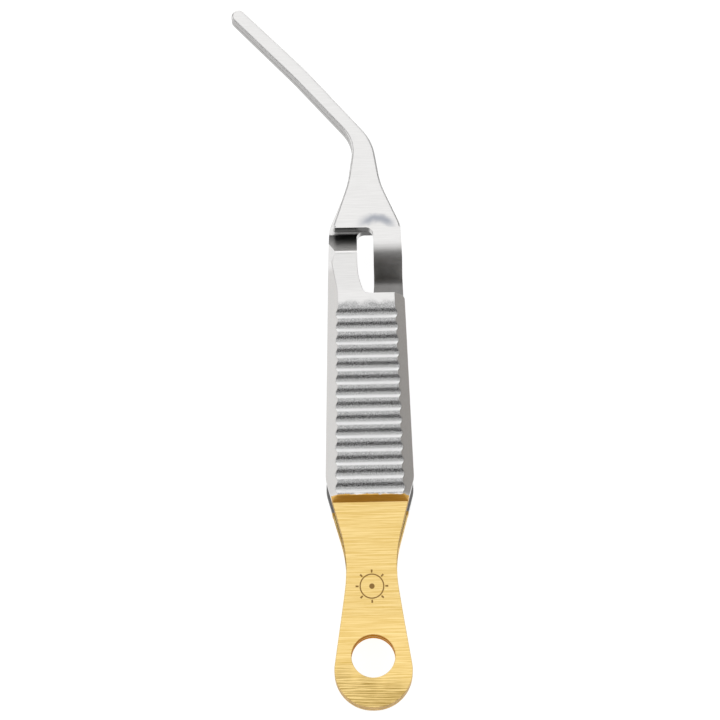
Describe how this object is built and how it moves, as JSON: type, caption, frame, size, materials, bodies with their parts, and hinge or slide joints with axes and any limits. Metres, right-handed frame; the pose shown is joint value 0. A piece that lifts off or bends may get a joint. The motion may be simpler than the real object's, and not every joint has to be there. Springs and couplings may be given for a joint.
{
  "type": "cross-action spring clamp",
  "caption": "Self-closing spring clamp: crossed steel arms with ridged grips and an eyeleted tail; squeezing the grips opens a pair of narrow angled jaws.",
  "frame": {"origin": "centre of the eyelet, on the plane where the two arms meet", "axes": "+Y from the tail to the jaws, +Z out of the front grip, +X to the right seen from the front; the jaws bend to -X"},
  "size_m": [0.0208, 0.0867, 0.01],
  "materials": {
    "satin_steel": "satin, brushed across the arms, rough in the grooves of the grips",
    "gold_plated_steel": "thin gold plating over steel brushed across the strip",
    "braze": "gold-coloured braze film"
  },
  "bodies": {
    "tail": {"tail_braze": "braze", "front_tail": "gold_plated_steel", "rear_tail": "gold_plated_steel"},
    "front_half": {"front_leaf": "gold_plated_steel", "front_arm": "satin_steel", "front_jaw": "satin_steel"},
    "rear_half": {"rear_leaf": "gold_plated_steel", "rear_arm": "satin_steel", "rear_jaw": "satin_steel"}
  },
  "joints": [
    {"name": "front_squeeze", "type": "hinge", "parent": "tail", "child": "front_half", "pos_m": [0, 0.0109, 0.00172], "axis": [-1, 0, 0], "range_deg": [0, 4.4], "stiffness_Nm_per_rad": 3, "springref_deg": -2.86},
    {"name": "rear_squeeze", "type": "hinge", "parent": "tail", "child": "rear_half", "pos_m": [0, 0.0109, -0.00172], "axis": [1, 0, 0], "range_deg": [0, 4.4], "stiffness_Nm_per_rad": 3, "springref_deg": -2.86}
  ]
}
